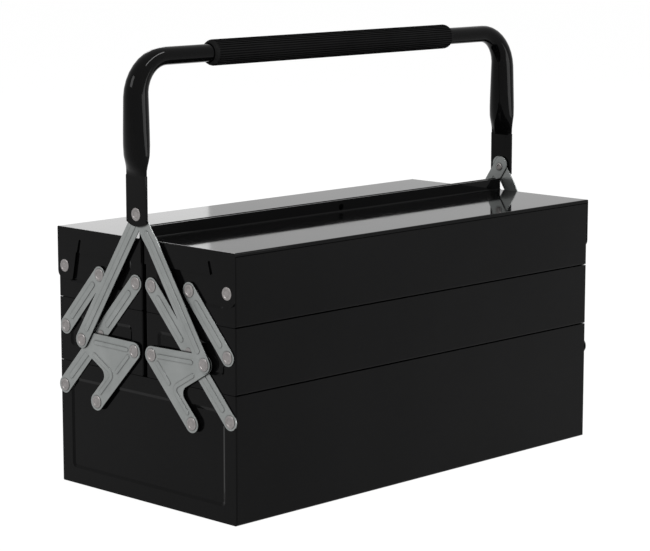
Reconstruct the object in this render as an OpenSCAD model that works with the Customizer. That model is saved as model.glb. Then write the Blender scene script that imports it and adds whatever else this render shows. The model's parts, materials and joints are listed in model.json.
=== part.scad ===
// Cantilever tool box: a base tray, two middle trays and two lidded top trays,
// carried on riveted crank plates and arms at both ends, under one swinging handle.
// Origin at the middle of the underside, +X along the length, +Z up, -Y to the front.

/* [Trays] */
// Length over the end walls
box_l = 405; // [340:5:520]
// Width over the long walls
box_w = 199; // [188:1:230]
// Height of the base tray
base_h = 97; // [88:1:130]
// Height of each middle tray
mid_h = 50; // [44:1:60]
// Height of each top tray with its lid
top_h = 55; // [50:1:70]
// Gap between the front and back trays
tray_gap = 4.2; // [3:0.2:8]
// Seam between a tray and the tray below it
seam = 0.4; // [0.2:0.1:0.8]

/* [Sheet metal] */
// Thickness of the tray and lid sheet
sheet = 1; // [0.7:0.1:1.2]
// Radius of the bent lower edges
bend_r = 1.6; // [1.2:0.1:3]
// Depth of the folded hem along the tray rims
hem_h = 7; // [4:0.5:10]
// Depth of the end wall's welding flange
flange_d = 7; // [4:0.5:12]
// Rim left round the pressed panel of an end wall
panel_rim = 12.4; // [12:0.2:15]
// Depth of the pressed panel
panel_d = 1; // [0.5:0.1:1.2]
// Width of the pressed panel's sloping edge
panel_slope = 2.4; // [1.5:0.1:4]
// Corner radius of the pressed panel
panel_r = 4; // [3:0.5:8]

/* [Lids] */
// Depth of the lid's end flange
lid_flange_h = 18.5; // [14:0.5:22]
// Depth of the lid's hem along the long wall
lid_hem_h = 2.7; // [2:0.1:3.5]
// Height of the upturned lip along the middle
lip_h = 9.5; // [8:0.5:14]
// Inner radius of the bend at the foot of the lip
lip_bend = 1.2; // [0.8:0.1:2]
// Diameter of the padlock hole through the lips
lock_hole_d = 5.2; // [4:0.2:7]
// Distance of the padlock hole from mid-length
lock_hole_x = 6; // [-40:1:40]
// Width of the relief slot beside the hinge ear
slot_w = 2.6; // [1.5:0.1:3.5]
// Running clearance of the lid over its tray
lid_gap = 0.3; // [0.2:0.1:0.5]

/* [Linkage] */
// Width of the arms
arm_w = 13; // [11:0.5:14]
// Width of the crank plate's lobes
crank_w = 13.6; // [12:0.2:15]
// Thickness of the arms and crank plates
link_t = 0.8; // [0.8:0.1:1.5]
// Gap between neighbouring layers of the linkage
link_gap = 0.1; // [0.1:0.05:0.4]
// How far the crank carries a middle tray sideways in half its swing
crank_reach = 44.1; // [38:0.1:48]
// Spacing of the crank's two upper pivots
crank_span = 59.3; // [54:0.1:62]
// Radius of the crank's inner corner
crank_fillet = 6; // [4:0.5:9]
// Height of the pressed beads
bead_h = 0.5; // [0.3:0.1:0.6]
// Width of the pressed beads on the arms
bead_w = 4.6; // [2.5:0.1:5]
// Width of the pressed beads on the crank plates
crank_bead_w = 3.4; // [2.5:0.1:4]
// Distance from a rivet's centre to the first round end of a bead
bead_start = 11.5; // [10:0.5:16]

/* [Rivets] */
// Diameter of the rivet heads
head_d = 9.8; // [8:0.2:11]
// Height of the rivet heads
head_h = 0.6; // [0.5:0.1:1.2]
// Diameter of the rivet shanks
shank_d = 5; // [4:0.2:6]
// Radial clearance of a shank in its hole
shank_gap = 0.1; // [0.05:0.01:0.1]
// Axial play of an arm on its rivet
play = 0.05; // [0.02:0.01:0.1]

/* [Handle] */
// Height of the handle pivot above the lids
pivot_rise = 19.1; // [18:0.1:30]
// Height of the bar's centre above the handle pivot
bar_rise = 115.8; // [95:0.1:150]
// Distance of each leg's centre beyond the end wall
leg_out = 5.6; // [5:0.2:8]
// Radius of the handle's bends
bend_path_r = 28.5; // [24:0.5:40]
// Diameter of the bar
bar_d = 13.7; // [11:0.1:17]
// Width of the flattened ends
flat_w = 22; // [20:0.5:26]
// Thickness of the flattened ends
flat_t = 2; // [1.8:0.1:3.5]
// Height above the handle pivot where the tube starts to swell from its flattened end
crimp_rise = 27; // [18:1:34]
// How much higher the flattened end reaches at its two edges
crimp_bow = 5.5; // [0:0.5:8]
// Length of the grip
grip_l = 270; // [150:1:280]
// Diameter of the grip over its ribs
grip_d = 20; // [18:0.5:26]
// Number of ribs round the grip
grip_ribs = 34; // [20:1:44]
// Height of the grip's ribs
rib_h = 0.4; // [0.2:0.1:0.8]

/* [Hidden] */
$fn = 48;

FRONT = -1;
BACK = 1;
LEFT = -1;
RIGHT = 1;
BOX_BLACK = [0.04, 0.04, 0.045];
ZINC = [0.62, 0.64, 0.63];
RIVET_GREY = [0.66, 0.63, 0.62];
GRIP_BLACK = [0.07, 0.07, 0.07];

// Levels
box_h = base_h + mid_h + top_h;
base_top = base_h - seam / 2;
mid_bottom = base_h + seam / 2;
mid_top = base_h + mid_h - seam / 2;
top_bottom = base_h + mid_h + seam / 2;
lid_under = box_h - sheet;
top_end_top = lid_under - lid_gap;
hinge_slack = 0.5;
outer_wall_top = box_h - lid_hem_h - hinge_slack;

// Edges across the box
y_out = box_w / 2;
y_in = tray_gap / 2;
x_wall = box_l / 2;

// Layers of the linkage, counted outward from the end wall
layer_1 = x_wall + link_gap;
layer_2 = layer_1 + link_t + play + head_h + link_gap;
layer_3 = layer_2 + link_t + play + head_h + link_gap;
layer_4 = layer_3 + link_t + link_gap;
layer_5 = layer_4 + link_t + link_gap;

// Pivots [distance from the middle, height], for either side
pivot_edge = 5.8;
crank_edge = 7.8;
crank_drop = 27.1;
arm_drop = 19.6;
mid_lift = 18.6;
short_lift = 27.6;
top_lift = 20.5;
lid_lift = 24.8;
top_edge = 6.8;
upper_edge = 8.1;
crank_rise = crank_drop + mid_lift;
mid_crank = [y_in + crank_edge, base_h + mid_lift];
base_crank = mid_crank + [crank_reach, -crank_rise];
handle_crank = mid_crank + [crank_span, 1.1];
base_arm = [y_out - pivot_edge, base_h - arm_drop];
mid_arm = base_arm + [-crank_reach, crank_rise];
top_arm = [y_in + top_edge, base_h + mid_h + top_lift];
upper_link = top_arm - mid_arm;
mid_short = [y_out - upper_edge, base_h + short_lift];
top_short = mid_short + upper_link;
lid_pivot = [y_out - upper_edge + 0.1, base_h + mid_h + lid_lift];
handle_pivot = [0, box_h + pivot_rise];

shank_r = shank_d / 2;
hole_r = shank_r + shank_gap;
collar_r = shank_r + 1.5;
tail_r = shank_r + 0.7;
tail_h = 0.7;

// ---- Helpers ----

// Mirrors what is drawn for the back right corner to the asked side and end
module place(side, end) {
    mirror([end < 0 ? 1 : 0, 0, 0]) mirror([0, side < 0 ? 1 : 0, 0]) children();
}

// Draws a 2D shape given as [y, z] as a plate that starts at x and is t thick
module plate(x, t) {
    translate([x, 0, 0]) rotate([90, 0, 90]) linear_extrude(t) children();
}

// A cylinder along X at the pivot p, from x to x + t
module pin(p, x, t, r) {
    translate([x, p[0], p[1]]) rotate([0, 90, 0]) cylinder(h = t, r = r);
}

function unit(v) = v / norm(v);
function left_of(v) = [-v[1], v[0]];

// Where the line from a along u meets the line from b along v
function meet(a, u, b, v) =
    a + u * ((b[0] - a[0]) * v[1] - (b[1] - a[1]) * v[0]) / (u[0] * v[1] - u[1] * v[0]);

// A bar with round ends from p to q
module bar_2d(p, q, w) {
    way = q - p;
    translate(p) rotate(atan2(way[1], way[0])) {
        translate([0, -w / 2]) square([norm(way), w]);
        circle(d = w);
        translate([norm(way), 0]) circle(d = w);
    }
}

// A rectangle with rounded lower corners
module channel_2d(y0, y1, z0, z1, r) {
    translate([y0, z0 + r]) square([y1 - y0, z1 - z0 - r]);
    translate([y0 + r, z0]) square([y1 - y0 - 2 * r, r]);
    for (y = [y0 + r, y1 - r]) translate([y, z0 + r]) circle(r);
}

// A rectangle with all corners rounded
module round_rect_2d(y0, y1, z0, z1, r) {
    translate([y0 + r, z0]) square([y1 - y0 - 2 * r, z1 - z0]);
    translate([y0, z0 + r]) square([y1 - y0, z1 - z0 - 2 * r]);
    for (y = [y0 + r, y1 - r], z = [z0 + r, z1 - r]) translate([y, z]) circle(r);
}

// ---- Sheet metal trays ----

// The bent channel of a tray: floor, two long walls and their folded hems
module tray_channel(y0, y1, z0, wall_0, wall_1) {
    length = box_l - 2 * sheet;
    hems = [[y0 + sheet, wall_0], [y1 - 2 * sheet, wall_1]];
    plate(-length / 2, length) {
        difference() {
            channel_2d(y0, y1, z0, max(wall_0, wall_1), bend_r);
            translate([y0 + sheet, z0 + sheet]) square([y1 - y0 - 2 * sheet, max(wall_0, wall_1)]);
            translate([y0 - 1, wall_0]) square([(y1 - y0) / 2, top_h]);
            translate([(y0 + y1) / 2, wall_1]) square([(y1 - y0) / 2 + 1, top_h]);
        }
        for (h = hems) translate([h[0], h[1] - hem_h]) square([sheet, hem_h]);
    }
}

// A pressed panel's frustum, from its mouth at x to its floor panel_d further in
module panel_frustum(area, x) {
    skin = 0.01;
    s = panel_slope;
    hull() {
        plate(x, skin) round_rect_2d(area[0], area[1], area[2], area[3], panel_r, $fn = 24);
        plate(x - panel_d, skin)
            round_rect_2d(area[0] + s, area[1] - s, area[2] + s, area[3] - s, panel_r / 2, $fn = 24);
    }
}

// What rounds the bent corner between an end wall and the long wall at y, which looks along way
module corner_cut(y, way, z0, z1) {
    translate([x_wall - sheet, y - way * sheet, z0 - 1]) mirror([0, way < 0 ? 1 : 0, 0])
        linear_extrude(z1 - z0 + 2) difference() {
            square(sheet + 1);
            circle(sheet);
        }
}

// An end wall with its pressed panel and welding flanges, as it stands at the right end
module end_wall(y0, y1, z0, z1, panel, flange_top, holes) {
    flange_x = x_wall - sheet - flange_d;
    difference() {
        union() {
            plate(x_wall - sheet, sheet) channel_2d(y0, y1, z0, z1, bend_r);
            panel_frustum(panel, x_wall - sheet);
            for (y = [y0 + sheet, y1 - 2 * sheet])
                translate([flange_x, y, z0 + sheet]) cube([flange_d, sheet, flange_top - z0 - sheet]);
            translate([flange_x, y0 + 2 * sheet, z0 + sheet]) cube([flange_d, y1 - y0 - 4 * sheet, sheet]);
        }
        panel_frustum(panel, x_wall);
        corner_cut(y0, -1, z0, z1);
        corner_cut(y1, 1, z0, z1);
        for (p = holes) pin(p, x_wall - 4, 8, hole_r);
    }
}

panel_y0 = y_in + panel_rim;
panel_y1 = y_out - panel_rim;
base_panel = [-panel_y1, panel_y1, panel_rim, base_h - panel_rim];
mid_panel = [panel_y0, panel_y1, mid_bottom + panel_rim, mid_top - panel_rim];
top_panel = [panel_y0, panel_y1, top_bottom + panel_rim, top_end_top - panel_rim];

function across(p) = [-p[0], p[1]];

module base_end(end) {
    holes = [base_crank, base_arm, across(base_crank), across(base_arm)];
    color(BOX_BLACK) place(BACK, end)
        end_wall(-y_out, y_out, 0, base_top, base_panel, base_top - hem_h, holes);
}

module mid_end(side, end) {
    color(BOX_BLACK) place(side, end)
        end_wall(y_in, y_out, mid_bottom, mid_top, mid_panel, mid_top - hem_h,
                 [mid_crank, mid_arm, mid_short]);
}

// The top trays' end walls are cut round so that the lid's back edge can swing past
module top_end(side, end) {
    color(BOX_BLACK) place(side, end) difference() {
        end_wall(y_in, y_out, top_bottom, top_end_top, top_panel, outer_wall_top - hem_h,
                 [top_arm, top_short, lid_pivot]);
        plate(x_wall - 4, 8) {
            difference() {
                translate([lid_pivot[0], outer_wall_top - 1]) square([20, 10]);
                translate(lid_pivot) circle(top_end_top - lid_pivot[1], $fn = 96);
            }
            translate([y_out - sheet - 0.6, outer_wall_top]) square([10, 10]);
        }
    }
}

module base_tray() {
    color(BOX_BLACK) tray_channel(-y_out, y_out, 0, base_top, base_top);
}

module mid_tray(side) {
    color(BOX_BLACK) place(side, RIGHT) tray_channel(y_in, y_out, mid_bottom, mid_top, mid_top);
}

module top_tray(side) {
    color(BOX_BLACK) place(side, RIGHT)
        tray_channel(y_in, y_out, top_bottom, top_end_top, outer_wall_top);
}

// ---- Lids ----

lid_half = layer_1 + sheet;

// The end flange with its hinge ear, and the slot that frees the ear to be bent flat
module lid_flange_2d() {
    slot_top = lid_pivot + [-18.6, 20.7];
    slot_foot = lid_pivot + [-10.4, -10];
    ear_edge = [slot_w * 0.4, 0];
    corners = [[6, y_out], [2, lid_pivot[0]]];
    difference() {
        union() {
            translate([y_in, box_h - lid_flange_h]) square([y_out - y_in, lid_flange_h]);
            for (c = corners) offset(r = c[0]) offset(delta = -c[0])
                polygon([slot_foot + ear_edge, [c[1], slot_foot[1]], [c[1], box_h],
                         [slot_top[0] + ear_edge[0], box_h]]);
        }
        bar_2d(slot_top, slot_foot, slot_w);
    }
}

// The lid's section: plate, short hem along the long wall, and upturned lip with its bend
module lid_2d() {
    bend_y = y_in + sheet + lip_bend;
    outer = lip_bend + sheet;
    translate([bend_y, lid_under]) square([y_out - sheet - bend_y, sheet]);
    translate([y_out - sheet, lid_under]) intersection() {
        circle(sheet);
        square(sheet);
    }
    translate([y_out - sheet, box_h - lid_hem_h]) square([sheet, lid_hem_h - sheet]);
    translate([bend_y, box_h + lip_bend]) difference() {
        intersection() {
            circle(outer);
            translate([-outer, -outer]) square(outer);
        }
        circle(lip_bend);
    }
    translate([y_in, box_h + lip_bend]) square([sheet, lip_h - lip_bend]);
}

// What rounds the bend between the lid's plate and its right end flange
module end_bend_cut() {
    foot = y_in + sheet + lip_bend;
    translate([0, y_out + 1, 0]) rotate([90, 0, 0]) linear_extrude(y_out + 1 - foot)
        translate([lid_half - sheet, box_h - sheet]) difference() {
            square(sheet + 1);
            circle(sheet);
        }
}

module lid(side) {
    color(BOX_BLACK) place(side, RIGHT) difference() {
        union() {
            plate(-lid_half, 2 * lid_half) lid_2d();
            for (end = [LEFT, RIGHT]) place(BACK, end) plate(layer_1, sheet) lid_flange_2d();
        }
        for (end = [LEFT, RIGHT]) place(BACK, end) {
            end_bend_cut();
            pin(lid_pivot, layer_1 - 1, sheet + 2, hole_r);
        }
        translate([lock_hole_x, 0, box_h + lip_bend + lock_hole_d / 2 + 0.1]) rotate([-90, 0, 0])
            cylinder(h = y_in + 2 * sheet, d = lock_hole_d);
    }
}

// ---- Linkage ----

// The point d along the line from p to q
function toward(p, q, d) = p + unit(q - p) * d;

// A pressed bead with round ends, w wide, from p on the face at x to q on the face at x_end
module bead(p, q, w, x, x_end) {
    skin = 0.01;
    hull() for (level = [[-0.2, 1], [bead_h * 0.7, 0.86], [bead_h - skin, 0.6]])
        for (foot = [[p, x], [q, x_end]])
            plate(foot[1] + level[0], skin) translate(foot[0]) circle(d = w * level[1], $fn = 20);
}

// The groove that a bead leaves on the inner face, where the arm starts at x
module groove(p, q, x) {
    plate(x - 1, 1 + bead_h * 0.7) bar_2d(p, q, bead_w * 0.5);
}

// A flat arm from p to q at layer x, with beads between its rivets; it ends tip further on than q
module arm(p, q, x, rivets, tip = 0) {
    stops = concat([p], rivets, [q]);
    runs = [
        for (i = [0 : len(stops) - 2])
            [toward(stops[i], stops[i + 1], bead_start), toward(stops[i + 1], stops[i], bead_start)]
    ];
    difference() {
        union() {
            plate(x, link_t) bar_2d(p, toward(q, p, -tip), arm_w);
            for (run = runs) bead(run[0], run[1], bead_w, x + link_t, x + link_t);
        }
        for (run = runs) groove(run[0], run[1], x);
        for (c = stops) pin(c, x - 1, link_t + 2, hole_r);
    }
}

module long_arm(side, end) {
    color(ZINC) place(side, end) arm(base_arm, top_arm, layer_1, [mid_arm]);
}

module short_arm(side, end) {
    color(ZINC) place(side, end) arm(mid_short, top_short, layer_1, []);
}

lobe_angle = 29.6;

// The crank plate: two upper pivots in a bar, a leg down to the base, and a round inner corner.
// One bead runs along the bar, one down the leg, and one follows the inner corner.
module crank(side, end) {
    leg = unit(mid_crank - base_crank);
    lobe_slope = [cos(lobe_angle), sin(lobe_angle)];
    lobe_edge = handle_crank + [lobe_slope[1], -lobe_slope[0]] * crank_w / 2;
    leg_edge = base_crank - left_of(leg) * crank_w / 2;
    corner = meet(lobe_edge, lobe_slope, leg_edge, leg);
    half = acos(-(leg * lobe_slope)) / 2;
    inward = unit(leg - lobe_slope) / sin(half);
    reach = crank_fillet / tan(half);
    centre = corner - inward * crank_fillet;

    bead_inset = crank_w / 3;
    turn_r = 4;
    turn_centre = corner + inward * (bead_inset - turn_r);
    turn_0 = lobe_angle + 90;
    turn_1 = atan2(leg[1], leg[0]) + 90;
    turn = [
        for (i = [0 : 3])
            let (a = turn_0 + (turn_1 - turn_0) * i / 3)
                turn_centre + turn_r * [cos(a), sin(a)]
    ];
    angle_bead = concat([turn[0] + lobe_slope * 20], turn, [turn[3] - leg * 17.5]);
    leg_bead = [for (d = [8.5, 27]) toward(mid_crank, base_crank, d) - left_of(leg) * 1.4];
    bar_bead = [toward(mid_crank, handle_crank, 8), toward(handle_crank, mid_crank, 15)];
    x = layer_2 + link_t;
    color(ZINC) place(side, end) difference() {
        union() {
            plate(layer_2, link_t) {
                bar_2d(mid_crank, handle_crank, crank_w);
                bar_2d(mid_crank, base_crank, crank_w);
                polygon([mid_crank, handle_crank, lobe_edge, corner, leg_edge, base_crank]);
                difference() {
                    polygon([corner, corner + lobe_slope * reach, centre, corner - leg * reach]);
                    translate(centre) circle(crank_fillet);
                }
            }
            for (line = [bar_bead, leg_bead, angle_bead], i = [1 : len(line) - 1])
                bead(line[i - 1], line[i], crank_bead_w, x, x);
        }
        for (p = [mid_crank, handle_crank, base_crank]) pin(p, layer_2 - 1, link_t + 2, hole_r);
    }
}

arm_length = norm(handle_pivot - handle_crank);
arm_tip = 3;

// Where the front handle arm starts and ends its step outward, measured from its lower rivet
step_back = 26;
step_run = 8;
step_start = arm_length - step_back;
step_end = step_start + step_run;

// The back handle arm lies flat
module handle_arm_back(end) {
    color(ZINC) place(BACK, end) arm(handle_crank, handle_pivot, layer_3, [], arm_tip);
}

// The front handle arm steps out by one layer to pass over the back one
module handle_arm_front(end) {
    tilt = atan2(handle_crank[0] - handle_pivot[0], handle_pivot[1] - handle_crank[1]);
    over = arm_tip + arm_w;
    bead_foot = toward(handle_crank, handle_pivot, bead_start);
    bead_knee = toward(handle_crank, handle_pivot, step_start);
    bead_head = toward(handle_crank, handle_pivot, step_end + 1.5);
    color(ZINC) place(FRONT, end) difference() {
        union() {
            intersection() {
                plate(layer_3, layer_4 + link_t - layer_3)
                    bar_2d(handle_crank, toward(handle_pivot, handle_crank, -arm_tip), arm_w);
                translate([0, handle_crank[0], handle_crank[1]]) rotate([tilt, 0, 0]) rotate([90, 0, 0])
                    linear_extrude(2 * arm_w, center = true)
                        polygon([[layer_3, -over], [layer_3 + link_t, -over], [layer_3 + link_t, step_start],
                                 [layer_4 + link_t, step_end], [layer_4 + link_t, arm_length + over],
                                 [layer_4, arm_length + over], [layer_4, step_end], [layer_3, step_start]]);
            }
            bead(bead_foot, bead_knee, bead_w, layer_3 + link_t, layer_3 + link_t);
            bead(bead_knee, bead_head, bead_w, layer_3 + link_t, layer_4 + link_t);
        }
        groove(bead_foot, bead_knee, layer_3);
        pin(handle_crank, layer_3 - 1, link_t + 2, hole_r);
        pin(handle_pivot, layer_4 - 1, link_t + 2, hole_r);
    }
}

// ---- Rivets ----

// One end of a rivet at the pivot p: its flat side lies at x, and it points outward or inward.
// Its middle is sunk by dish.
module button(p, x, way, r, h, dish) {
    translate([x, p[0], p[1]]) rotate([0, 90 * way, 0]) rotate_extrude($fn = 36)
        polygon([[0, 0], [r, 0], [r, h * 0.35], [r - 0.3, h * 0.75], [r - 0.9, h],
                 [r * 0.66, h], [r * 0.56, h - dish], [0, h - dish]]);
}

module rivet_head(p, x) {
    button(p, x, 1, head_d / 2, head_h, 0.25);
}

module rivet_tail(p, x) {
    button(p, x, -1, tail_r, tail_h, 0.3);
}

// A rivet through a wall whose outer face is at x0 and an arm or ear that lies from x1 to x1 + t
module wall_rivet(p, x0, x1, t = link_t) {
    out = x1 + t + play;
    rivet_tail(p, x0 - sheet);
    pin(p, x0 - sheet, out - x0 + sheet, shank_r);
    if (x1 - x0 > 0.5) pin(p, x0, x1 - play - x0, collar_r);
    rivet_head(p, out);
}

// The hidden rivet under the crank plate has a low flat head
module flush_rivet(p, x0, x1) {
    rivet_tail(p, x0 - sheet);
    pin(p, x0 - sheet, x1 + link_t + play - x0 + sheet, shank_r);
    pin(p, x0, x1 - play - x0, collar_r);
    pin(p, x1 + link_t + play, head_h / 3, tail_r);
}

x_panel = x_wall - panel_d;

module both_ends(side) {
    for (end = [LEFT, RIGHT]) place(side, end) children();
}

module base_rivets() {
    color(RIVET_GREY) for (side = [FRONT, BACK]) both_ends(side) {
        wall_rivet(base_crank, x_panel, layer_2);
        wall_rivet(base_arm, x_wall, layer_1);
    }
}

module mid_rivets(side) {
    color(RIVET_GREY) both_ends(side) {
        wall_rivet(mid_crank, x_wall, layer_2);
        flush_rivet(mid_arm, x_panel, layer_1);
        wall_rivet(mid_short, x_wall, layer_1);
    }
}

module top_rivets(side) {
    color(RIVET_GREY) both_ends(side) {
        wall_rivet(top_arm, x_wall, layer_1);
        wall_rivet(top_short, x_panel, layer_1);
        wall_rivet(lid_pivot, x_wall, layer_1, sheet);
    }
}

// The handle arm's rivet bears on the crank plate with a round collar
module handle_arm_rivets(side) {
    color(RIVET_GREY) both_ends(side) {
        collar_x = layer_2 + link_t + link_gap;
        pin(handle_crank, collar_x, layer_3 - collar_x, collar_r);
        pin(handle_crank, layer_3, link_t, shank_r);
        rivet_head(handle_crank, layer_3 + link_t);
    }
}

module handle_pivot_rivets() {
    color(RIVET_GREY) both_ends(BACK) {
        out = layer_5 + flat_t + play;
        rivet_tail(handle_pivot, layer_3 - play);
        pin(handle_pivot, layer_3 - play, out - layer_3 + play, shank_r);
        rivet_head(handle_pivot, out);
    }
}

// ---- Handle ----

bar_z = handle_pivot[1] + bar_rise;
leg_x = x_wall + leg_out;
flat_x = layer_5 + flat_t / 2;
leg_top = bar_z - bend_path_r;
bend_steps = 9;
ring_sides = 28;

crimp_z = handle_pivot[1] + crimp_rise;
leg_r = 9.3;
leg_w = 10.1;
bow = crimp_bow;
leg_fit = min(1, (leg_top - crimp_z - 1) / 53);

// Stations up the right leg, closed up where the leg is short:
// [x, z, path angle, half width, half thickness, squareness, rise at the two edges]
leg_stations = [
    [flat_x, crimp_z - 1, 90, flat_w / 2 - 0.4, flat_t / 2 - 0.4, 0.4, 0],
    [flat_x, crimp_z + leg_fit, 90, flat_w / 2 + 0.05, flat_t / 2 + 0.05, 0.4, 0],
    [flat_x, crimp_z + 2 * leg_fit, 90, flat_w / 2 + 0.2, flat_t / 2 + 0.2, 0.5, bow * 0.8],
    [(flat_x + leg_x) / 2, crimp_z + 5 * leg_fit, 90, flat_w / 2 + 0.5, 2.8, 0.7, bow],
    [leg_x, crimp_z + 9 * leg_fit, 90, flat_w / 2 + 0.8, 5.4, 0.9, bow],
    [leg_x, crimp_z + 15 * leg_fit, 90, flat_w / 2 + 1, 7.7, 1, bow * 0.6],
    [leg_x, crimp_z + 24 * leg_fit, 90, leg_w + 1.5, 8.8, 1, bow * 0.2],
    [leg_x, crimp_z + 36 * leg_fit, 90, leg_w + 0.8, leg_r, 1, 0],
    [leg_x, crimp_z + 53 * leg_fit, 90, leg_w, leg_r, 1, 0]
];

// Stations round the bend, where the section shrinks to the bar's
bend_stations = [
    for (i = [0 : bend_steps])
        let (f = i / bend_steps, a = 90 * f)
            [leg_x - bend_path_r * (1 - cos(a)), leg_top + bend_path_r * sin(a), 90 + a,
             leg_w - 0.4 + (bar_d / 2 - leg_w + 0.4) * f, leg_r + (bar_d / 2 - leg_r) * f, 1, 0]
];

right_stations = concat(leg_stations, bend_stations);
left_stations = [
    for (i = [len(right_stations) - 1 : -1 : 0])
        let (s = right_stations[i]) [-s[0], s[1], 360 - s[2], s[3], s[4], s[5], s[6]]
];
stations = concat(right_stations, left_stations);

function swell(v, e) = sign(v) * pow(abs(v), e);

function section(s) = [
    for (i = [0 : ring_sides - 1])
        let (t = 360 * i / ring_sides, u = s[3] * swell(cos(t), s[5]), v = s[4] * swell(sin(t), s[5]))
            [s[0] - sin(s[2]) * v, u, s[1] + cos(s[2]) * v + s[6] * pow(cos(t), 2)]
];

// A closed skin through the sections
module sweep(list) {
    n = ring_sides;
    last = (len(list) - 1) * n;
    points = [for (s = list) each section(s)];
    sides = [
        for (k = [0 : len(list) - 2], i = [0 : n - 1])
            let (a = k * n + i, b = k * n + (i + 1) % n)
                each [[a, b + n, b], [a, a + n, b + n]]
    ];
    caps = [[for (i = [0 : n - 1]) i], [for (i = [n - 1 : -1 : 0]) last + i]];
    polyhedron(points = points, faces = concat(sides, caps), convexity = 8);
}

// The flattened end that the pivot rivet goes through, with a shallow round edge below
module flat_end_2d() {
    end_r = 19;
    z0 = handle_pivot[1] - 9.2;
    intersection() {
        translate([-flat_w / 2, z0]) square([flat_w, crimp_z + 2 - z0]);
        union() {
            translate([0, z0 + end_r]) circle(end_r, $fn = 96);
            translate([-flat_w / 2, z0 + end_r]) square([flat_w, crimp_rise]);
        }
    }
}

module handle_tube() {
    color(BOX_BLACK) {
        difference() {
            union() {
                sweep(stations);
                both_ends(BACK) plate(layer_5, flat_t) flat_end_2d();
            }
            both_ends(BACK) pin(handle_pivot, layer_5 - 1, flat_t + 2, hole_r);
        }
    }
}

// The ribbed grip, with rounded ends
module handle_grip() {
    r = grip_d / 2;
    h = grip_l / 2;
    bore_r = bar_d / 2 + 0.1;
    color(GRIP_BLACK) translate([0, 0, bar_z]) intersection() {
        plate(-h, grip_l) difference() {
            union() {
                circle(r - rib_h, $fn = 96);
                for (i = [0 : grip_ribs - 1]) rotate(360 * i / grip_ribs)
                    translate([r - 1.5, -rib_h]) square([1.5, 2 * rib_h]);
            }
            circle(bore_r);
        }
        rotate([0, 90, 0]) rotate_extrude($fn = 96)
            polygon([[0, -h], [bore_r + 0.6, -h], [r - 1.1, 1.2 - h], [r - 0.3, 2.8 - h], [r + 0.1, 4.6 - h],
                     [r + 0.1, h - 4.6], [r - 0.3, h - 2.8], [r - 1.1, h - 1.2], [bore_r + 0.6, h], [0, h]]);
    }
}

// ---- Placed pieces ----

module base_end_left() { base_end(LEFT); }
module base_end_right() { base_end(RIGHT); }
module mid_tray_front() { mid_tray(FRONT); }
module mid_end_front_left() { mid_end(FRONT, LEFT); }
module mid_end_front_right() { mid_end(FRONT, RIGHT); }
module mid_rivets_front() { mid_rivets(FRONT); }
module top_tray_front() { top_tray(FRONT); }
module top_end_front_left() { top_end(FRONT, LEFT); }
module top_end_front_right() { top_end(FRONT, RIGHT); }
module top_rivets_front() { top_rivets(FRONT); }
module lid_front() { lid(FRONT); }
module mid_tray_back() { mid_tray(BACK); }
module mid_end_back_left() { mid_end(BACK, LEFT); }
module mid_end_back_right() { mid_end(BACK, RIGHT); }
module mid_rivets_back() { mid_rivets(BACK); }
module top_tray_back() { top_tray(BACK); }
module top_end_back_left() { top_end(BACK, LEFT); }
module top_end_back_right() { top_end(BACK, RIGHT); }
module top_rivets_back() { top_rivets(BACK); }
module lid_back() { lid(BACK); }
module crank_front_left() { crank(FRONT, LEFT); }
module crank_front_right() { crank(FRONT, RIGHT); }
module crank_back_left() { crank(BACK, LEFT); }
module crank_back_right() { crank(BACK, RIGHT); }
module long_arm_front_left() { long_arm(FRONT, LEFT); }
module long_arm_front_right() { long_arm(FRONT, RIGHT); }
module long_arm_back_left() { long_arm(BACK, LEFT); }
module long_arm_back_right() { long_arm(BACK, RIGHT); }
module short_arm_front_left() { short_arm(FRONT, LEFT); }
module short_arm_front_right() { short_arm(FRONT, RIGHT); }
module short_arm_back_left() { short_arm(BACK, LEFT); }
module short_arm_back_right() { short_arm(BACK, RIGHT); }
module handle_arm_front_left() { handle_arm_front(LEFT); }
module handle_arm_front_right() { handle_arm_front(RIGHT); }
module handle_arm_rivets_front() { handle_arm_rivets(FRONT); }
module handle_arm_back_left() { handle_arm_back(LEFT); }
module handle_arm_back_right() { handle_arm_back(RIGHT); }
module handle_arm_rivets_back() { handle_arm_rivets(BACK); }

base_tray();
base_end_left();
base_end_right();
base_rivets();
mid_tray_front();
mid_end_front_left();
mid_end_front_right();
mid_rivets_front();
mid_tray_back();
mid_end_back_left();
mid_end_back_right();
mid_rivets_back();
top_tray_front();
top_end_front_left();
top_end_front_right();
top_rivets_front();
top_tray_back();
top_end_back_left();
top_end_back_right();
top_rivets_back();
lid_front();
lid_back();
crank_front_left();
crank_front_right();
crank_back_left();
crank_back_right();
long_arm_front_left();
long_arm_front_right();
long_arm_back_left();
long_arm_back_right();
short_arm_front_left();
short_arm_front_right();
short_arm_back_left();
short_arm_back_right();
handle_arm_front_left();
handle_arm_front_right();
handle_arm_back_left();
handle_arm_back_right();
handle_arm_rivets_front();
handle_arm_rivets_back();
handle_pivot_rivets();
handle_tube();
handle_grip();
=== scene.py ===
"""Looks of the cantilever tool box.

Gloss black sheet metal, zinc links, steel rivets and a ribbed grip.
"""
import json
import math

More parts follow.
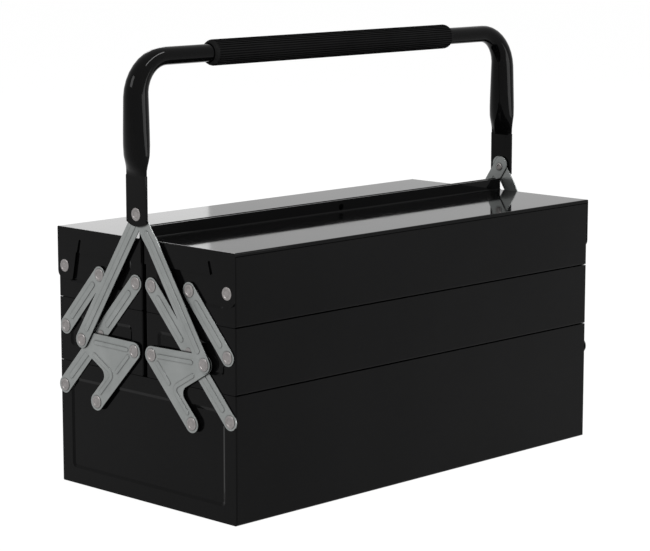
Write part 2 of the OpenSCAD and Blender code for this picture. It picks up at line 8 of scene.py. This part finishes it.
import bmesh
import bpy
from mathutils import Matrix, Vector


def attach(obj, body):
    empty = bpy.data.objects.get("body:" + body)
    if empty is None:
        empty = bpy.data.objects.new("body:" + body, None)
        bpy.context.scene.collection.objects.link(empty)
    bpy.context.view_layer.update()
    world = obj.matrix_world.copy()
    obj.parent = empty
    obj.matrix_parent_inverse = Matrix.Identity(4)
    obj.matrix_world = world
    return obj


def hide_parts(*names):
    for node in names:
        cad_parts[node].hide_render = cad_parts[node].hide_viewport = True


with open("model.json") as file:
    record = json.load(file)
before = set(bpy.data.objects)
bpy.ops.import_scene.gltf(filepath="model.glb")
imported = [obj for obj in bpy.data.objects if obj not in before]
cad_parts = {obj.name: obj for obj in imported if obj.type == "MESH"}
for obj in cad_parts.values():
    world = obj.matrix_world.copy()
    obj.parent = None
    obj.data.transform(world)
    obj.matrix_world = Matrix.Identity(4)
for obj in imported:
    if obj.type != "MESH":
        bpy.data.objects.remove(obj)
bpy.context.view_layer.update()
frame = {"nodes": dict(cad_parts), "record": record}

# ---- Camera, at the photograph's angle ----

CAMERA_AT = Vector((-1.350126, -1.315875, 0.465183))
CAMERA_AZIMUTH = math.radians(44.465)
CAMERA_DOWN = math.radians(9.484)
CAMERA_LENS = 130.906
SENSOR_WIDTH = 36.0
CLIP_NEAR = 0.05
CLIP_FAR = 50


def make_camera():
    """Adds the camera and makes it the scene's own."""
    data = bpy.data.cameras.new("camera")
    data.lens = CAMERA_LENS
    data.sensor_width = SENSOR_WIDTH
    data.clip_start = CLIP_NEAR
    data.clip_end = CLIP_FAR
    camera = bpy.data.objects.new("camera", data)
    look = Vector((
        math.cos(CAMERA_DOWN) * math.cos(CAMERA_AZIMUTH),
        math.cos(CAMERA_DOWN) * math.sin(CAMERA_AZIMUTH),
        -math.sin(CAMERA_DOWN),
    ))
    camera.location = CAMERA_AT
    camera.rotation_euler = look.to_track_quat("-Z", "Y").to_euler()
    bpy.context.scene.collection.objects.link(camera)
    bpy.context.scene.camera = camera


# ---- Materials ----

# The middle of a noise, which is spread over the range that is asked for
NOISE_LOW = 0.3
NOISE_HIGH = 0.7
# Inputs and output of a Mix node that blends colours
MIX_FACTOR, MIX_A, MIX_B, MIX_RESULT = 0, 6, 7, 2
AO_SAMPLES = 8

PAINT_IOR = 1.15
GRIP_IOR = 1.01
ZINC_METALLIC = 0.9
STEEL_METALLIC = 0.8

PAINT_DARK = (0.0016, 0.0016, 0.0017)
PAINT_LIGHT = (0.0023, 0.0023, 0.0024)
ZINC_DARK = (0.214, 0.225, 0.221)
ZINC_LIGHT = (0.254, 0.265, 0.261)
STEEL_DARK = (0.195, 0.184, 0.181)
STEEL_LIGHT = (0.255, 0.241, 0.238)
GRIP_DARK = (0.0085, 0.0085, 0.0086)
GRIP_LIGHT = (0.0110, 0.0110, 0.0112)

# Roughness of the enamel, the share by which haze lowers and raises it, and the
# strength and depth, in metres, of its orange peel
BOX_ROUGHNESS, BOX_PEEL = 0.06, 0.05
HANDLE_ROUGHNESS, HANDLE_PEEL = 0.05, 0.004
HAZE_LOW, HAZE_HIGH = 0.8, 1.25
PEEL_DEPTH = 0.00002

# Creases narrower than the reach, in metres, get painted shade: a base colour darker by these
# powers
CREASE_SHADE_REACH = 0.0015
METAL_CREASE_SHADE = 3.0
GRIP_CREASE_SHADE = 5.0


class Shader:
    """A node material with one Principled shader, and short calls that add nodes to it."""

    def __init__(self, name, **sockets):
        self.material = bpy.data.materials.new(name)
        self.material.use_nodes = True
        self.tree = self.material.node_tree
        self.main = self.tree.nodes["Principled BSDF"]
        for socket, value in sockets.items():
            self.main.inputs[socket.replace("_", " ")].default_value = value
        self.place = self.add("ShaderNodeTexCoord").outputs["Object"]

    def add(self, kind, **settings):
        """Adds a node and sets its properties."""
        node = self.tree.nodes.new(kind)
        for key, value in settings.items():
            setattr(node, key, value)
        return node

    def link(self, output, target):
        """Joins an output to an input."""
        self.tree.links.new(output, target)

    def noise(self, scale, detail):
        """Noise of the given scale per metre."""
        noise = self.add("ShaderNodeTexNoise")
        noise.inputs["Scale"].default_value = scale
        noise.inputs["Detail"].default_value = detail
        self.link(self.place, noise.inputs["Vector"])
        return noise.outputs["Fac"]

    def spread(self, value, low, high):
        """Maps the middle of a noise to the range from low to high."""
        ramp = self.add("ShaderNodeMapRange")
        ramp.inputs["From Min"].default_value = NOISE_LOW
        ramp.inputs["From Max"].default_value = NOISE_HIGH
        ramp.inputs["To Min"].default_value = low
        ramp.inputs["To Max"].default_value = high
        self.link(value, ramp.inputs["Value"])
        return ramp.outputs["Result"]

    def tint(self, value, dark, light):
        """Blends two colours by a value."""
        mix = self.add("ShaderNodeMix", data_type="RGBA")
        mix.inputs[MIX_A].default_value = (*dark, 1)
        mix.inputs[MIX_B].default_value = (*light, 1)
        self.link(value, mix.inputs[MIX_FACTOR])
        self.link(mix.outputs[MIX_RESULT], self.main.inputs["Base Color"])

    def paint_crease_shade(self, depth):
        """Paints shade into narrow creases by darkening the base colour there, more with a
        greater depth.
        """
        tone = self.main.inputs["Base Color"].links[0].from_socket
        hollow = self.add("ShaderNodeAmbientOcclusion", samples=AO_SAMPLES)
        hollow.inputs["Distance"].default_value = CREASE_SHADE_REACH
        deepen = self.add("ShaderNodeMath", operation="POWER")
        deepen.inputs[1].default_value = depth
        self.link(hollow.outputs["AO"], deepen.inputs[0])
        shade = self.add("ShaderNodeMix", data_type="RGBA", blend_type="MULTIPLY")
        shade.inputs[MIX_FACTOR].default_value = 1.0
        self.link(tone, shade.inputs[MIX_A])
        self.link(deepen.outputs[0], shade.inputs[MIX_B])
        self.link(shade.outputs[MIX_RESULT], self.main.inputs["Base Color"])

    def rough(self, value):
        """Drives the roughness."""
        self.link(value, self.main.inputs["Roughness"])

    def bump(self, value, strength, depth):
        """Adds a bump of the given depth in metres."""
        bump = self.add("ShaderNodeBump")
        bump.inputs["Strength"].default_value = strength
        bump.inputs["Distance"].default_value = depth
        self.link(value, bump.inputs["Height"])
        self.link(bump.outputs["Normal"], self.main.inputs["Normal"])


def gloss_paint(name, roughness, peel):
    """Black enamel: faint orange peel, faint haze, and a hardly varied colour."""
    paint = Shader(name, IOR=PAINT_IOR, Metallic=0.0)
    blotches = paint.spread(paint.noise(scale=9, detail=3), low=0, high=1)
    paint.tint(blotches, PAINT_DARK, PAINT_LIGHT)
    haze = paint.noise(scale=35, detail=4)
    paint.rough(paint.spread(haze, low=roughness * HAZE_LOW, high=roughness * HAZE_HIGH))
    paint.bump(paint.noise(scale=700, detail=1.5), strength=peel, depth=PEEL_DEPTH)
    return paint.material


def zinc():
    """Satin zinc plating with a fine grain and slightly uneven tone."""
    metal = Shader("link_zinc", Metallic=ZINC_METALLIC)
    blotches = metal.spread(metal.noise(scale=60, detail=5), low=0, high=1)
    metal.tint(blotches, ZINC_DARK, ZINC_LIGHT)
    # Painted shade in narrow creases, such as beside the beads
    metal.paint_crease_shade(METAL_CREASE_SHADE)
    metal.rough(metal.spread(metal.noise(scale=900, detail=3), low=0.28, high=0.4))
    metal.bump(metal.noise(scale=2600, detail=2), strength=0.12, depth=0.00002)
    return metal.material


def rivet_steel():
    """Warmer, duller steel of the rivets."""
    metal = Shader("rivet_steel", Metallic=STEEL_METALLIC)
    blotches = metal.spread(metal.noise(scale=250, detail=4), low=0, high=1)
    metal.tint(blotches, STEEL_DARK, STEEL_LIGHT)
    # Painted shade in narrow creases
    metal.paint_crease_shade(METAL_CREASE_SHADE)
    metal.rough(metal.spread(metal.noise(scale=1200, detail=3), low=0.3, high=0.45))
    metal.bump(metal.noise(scale=1800, detail=3), strength=0.2, depth=0.00003)
    return metal.material


def grip_plastic():
    """Matte black soft plastic of the grip."""
    plastic = Shader("grip_plastic", IOR=GRIP_IOR)
    blotches = plastic.spread(plastic.noise(scale=40, detail=3), low=0, high=1)
    plastic.tint(blotches, GRIP_DARK, GRIP_LIGHT)
    # Painted shade in narrow creases, such as the grooves between the ribs
    plastic.paint_crease_shade(GRIP_CREASE_SHADE)
    plastic.rough(plastic.spread(plastic.noise(scale=300, detail=3), low=0.5, high=0.65))
    plastic.bump(plastic.noise(scale=2200, detail=2), strength=0.25, depth=0.00004)
    return plastic.material


def dress_nodes():
    """Gives every CAD node the material of its slot in the record."""
    looks = {
        "box_paint": gloss_paint("box_paint", BOX_ROUGHNESS, BOX_PEEL),
        "handle_paint": gloss_paint("handle_paint", HANDLE_ROUGHNESS, HANDLE_PEEL),
        "link_zinc": zinc(),
        "rivet_steel": rivet_steel(),
        "grip_plastic": grip_plastic(),
    }
    for entry in frame["record"]["subparts"]:
        node = frame["nodes"][entry["node"]]
        node.data.materials.clear()
        node.data.materials.append(looks[entry["material_slot"]])


# ---- Finer copies of some pieces ----

# Vertices closer than this, in metres, are one
WELD_DISTANCE = 0.000002
# Angles in degrees
FLAT_BELOW = 0.5
TUBE_SHARP_ABOVE = 40
LINK_SHARP_ABOVE = 30
ROUND_ABOVE = 60
# Rounding of the links' edges, in metres
LINK_EDGE = 0.0002
EDGE_SEGMENTS = 2


def finer_copy(name, body, sharp_above, edge_round):
    """Replaces a node by a copy with smooth round faces.

    Where edge_round isn't 0, its sharp edges are rounded by that many metres.
    """
    node = frame["nodes"][name]
    mesh = bpy.data.meshes.new(name + "_fine")
    work = bmesh.new()
    work.from_mesh(node.data)
    bmesh.ops.remove_doubles(work, verts=work.verts, dist=WELD_DISTANCE)
    flat = math.radians(FLAT_BELOW)
    bmesh.ops.dissolve_limit(work, angle_limit=flat, verts=work.verts, edges=work.edges)
    work.to_mesh(mesh)
    work.free()
    if "custom_normal" in mesh.attributes:
        mesh.attributes.remove(mesh.attributes["custom_normal"])
    for face in mesh.polygons:
        face.use_smooth = True
    mesh.set_sharp_from_angle(angle=math.radians(sharp_above))
    mesh.materials.clear()
    mesh.materials.append(node.data.materials[0])
    piece = bpy.data.objects.new(name + "_fine", mesh)
    bpy.context.scene.collection.objects.link(piece)
    if edge_round:
        bevel = piece.modifiers.new("edge_round", "BEVEL")
        bevel.width = edge_round
        bevel.segments = EDGE_SEGMENTS
        bevel.limit_method = "ANGLE"
        bevel.angle_limit = math.radians(ROUND_ABOVE)
        bevel.harden_normals = True
    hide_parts(name)
    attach(piece, body)


def refine_nodes():
    """Smooths the bent tube and rounds the edges of the links."""
    finer_copy("handle_tube", "handle", TUBE_SHARP_ABOVE, 0)
    links = (
        ("crank", "crank"),
        ("long_arm", "long_arms"),
        ("short_arm", "short_arms"),
        ("handle_arm", "handle_arms"),
    )
    for side in ("front", "back"):
        for end in ("left", "right"):
            for piece, body in links:
                finer_copy(f"{piece}_{side}_{end}", f"{body}_{side}", LINK_SHARP_ABOVE, LINK_EDGE)


# ---- Studio ----

FLOOR_SIZE = 12.0
FLOOR_DROP = 0.0003
FLOOR_COLOUR = (0.95, 0.95, 0.95, 1)
FLOOR_GLOW = 1.04
# How much of the floor that is seen is glow; the rest is matte and keeps the shadow
GLOW_SHARE = 0.92
# Strength of the even light from the backdrop
AMBIENT = 0.5
WHITE = (1, 1, 1, 1)
MIDDLE = (0, 0, 0.15)
# Name, place, aim, width, height and power of each lamp
LAMPS = (
    ("lamp_left", (-2.2, 0.4, 1.5), MIDDLE, 0.9, 0.9, 28),
    ("lamp_strip", (0.48, -1.3, 2.16), (0.14, 0, 0.3), 1.9, 0.22, 45),
    ("lamp_back", (1.4, 2.2, 1.6), MIDDLE, 0.8, 0.8, 14),
    ("lamp_low", (0.5, -1.45, 0.21), (-0.1, 0, 0.21), 1.0, 0.38, 8),
    ("lamp_far", (1.854, 2.522, 0.70), MIDDLE, 0.5, 0.6, 0.85),
)


def seen_directly(tree):
    """A factor that is 1 for what the camera sees, also in a reflection or through glass."""
    path = tree.nodes.new("ShaderNodeLightPath")
    total = path.outputs["Is Camera Ray"]
    for name in ("Is Glossy Ray", "Is Transmission Ray"):
        either = tree.nodes.new("ShaderNodeMath")
        either.operation = "MAXIMUM"
        tree.links.new(total, either.inputs[0])
        tree.links.new(path.outputs[name], either.inputs[1])
        total = either.outputs[0]
    return total


def make_world():
    """A white backdrop, and a weaker even light for everything else."""
    world = bpy.data.worlds.new("studio")
    world.use_nodes = True
    bpy.context.scene.world = world
    tree = world.node_tree
    tree.nodes.clear()
    backdrop = tree.nodes.new("ShaderNodeBackground")
    light = tree.nodes.new("ShaderNodeBackground")
    light.inputs["Strength"].default_value = AMBIENT
    for shader in (backdrop, light):
        shader.inputs["Color"].default_value = WHITE
    mix = tree.nodes.new("ShaderNodeMixShader")
    tree.links.new(seen_directly(tree), mix.inputs[0])
    tree.links.new(light.outputs[0], mix.inputs[1])
    tree.links.new(backdrop.outputs[0], mix.inputs[2])
    output = tree.nodes.new("ShaderNodeOutputWorld")
    tree.links.new(mix.outputs[0], output.inputs[0])


def make_floor():
    """A pale floor that keeps a soft shadow."""
    half = FLOOR_SIZE / 2
    mesh = bpy.data.meshes.new("floor")
    outline = ((-half, -half), (half, -half), (half, half), (-half, half))
    corners = [(x, y, -FLOOR_DROP) for x, y in outline]
    mesh.from_pydata(corners, [], [(0, 1, 2, 3)])
    floor = bpy.data.objects.new("floor", mesh)
    bpy.context.scene.collection.objects.link(floor)
    material = bpy.data.materials.new("floor")
    material.use_nodes = True
    tree = material.node_tree
    tree.nodes.clear()
    matte = tree.nodes.new("ShaderNodeBsdfDiffuse")
    matte.inputs["Color"].default_value = FLOOR_COLOUR
    glow = tree.nodes.new("ShaderNodeEmission")
    glow.inputs["Color"].default_value = WHITE
    glow.inputs["Strength"].default_value = FLOOR_GLOW
    share = tree.nodes.new("ShaderNodeMath")
    share.operation = "MULTIPLY"
    share.inputs[1].default_value = GLOW_SHARE
    tree.links.new(seen_directly(tree), share.inputs[0])
    mix = tree.nodes.new("ShaderNodeMixShader")
    tree.links.new(share.outputs[0], mix.inputs[0])
    tree.links.new(matte.outputs[0], mix.inputs[1])
    tree.links.new(glow.outputs[0], mix.inputs[2])
    output = tree.nodes.new("ShaderNodeOutputMaterial")
    tree.links.new(mix.outputs[0], output.inputs[0])
    mesh.materials.append(material)


def softbox(name, at, aim, width, height, power):
    """A soft rectangular lamp that points at a place."""
    data = bpy.data.lights.new(name, "AREA")
    data.shape = "RECTANGLE"
    data.size = width
    data.size_y = height
    data.energy = power
    lamp = bpy.data.objects.new(name, data)
    lamp.location = at
    lamp.rotation_euler = (Vector(aim) - Vector(at)).to_track_quat("-Z", "Y").to_euler()
    lamp.visible_camera = False
    bpy.context.scene.collection.objects.link(lamp)


def make_studio():
    """Floor, backdrop and lamps."""
    make_world()
    make_floor()
    for lamp in LAMPS:
        softbox(*lamp)


# ---- Making ----

make_camera()
dress_nodes()
refine_nodes()
make_studio()

bpy.context.scene.view_settings.view_transform = "Standard"
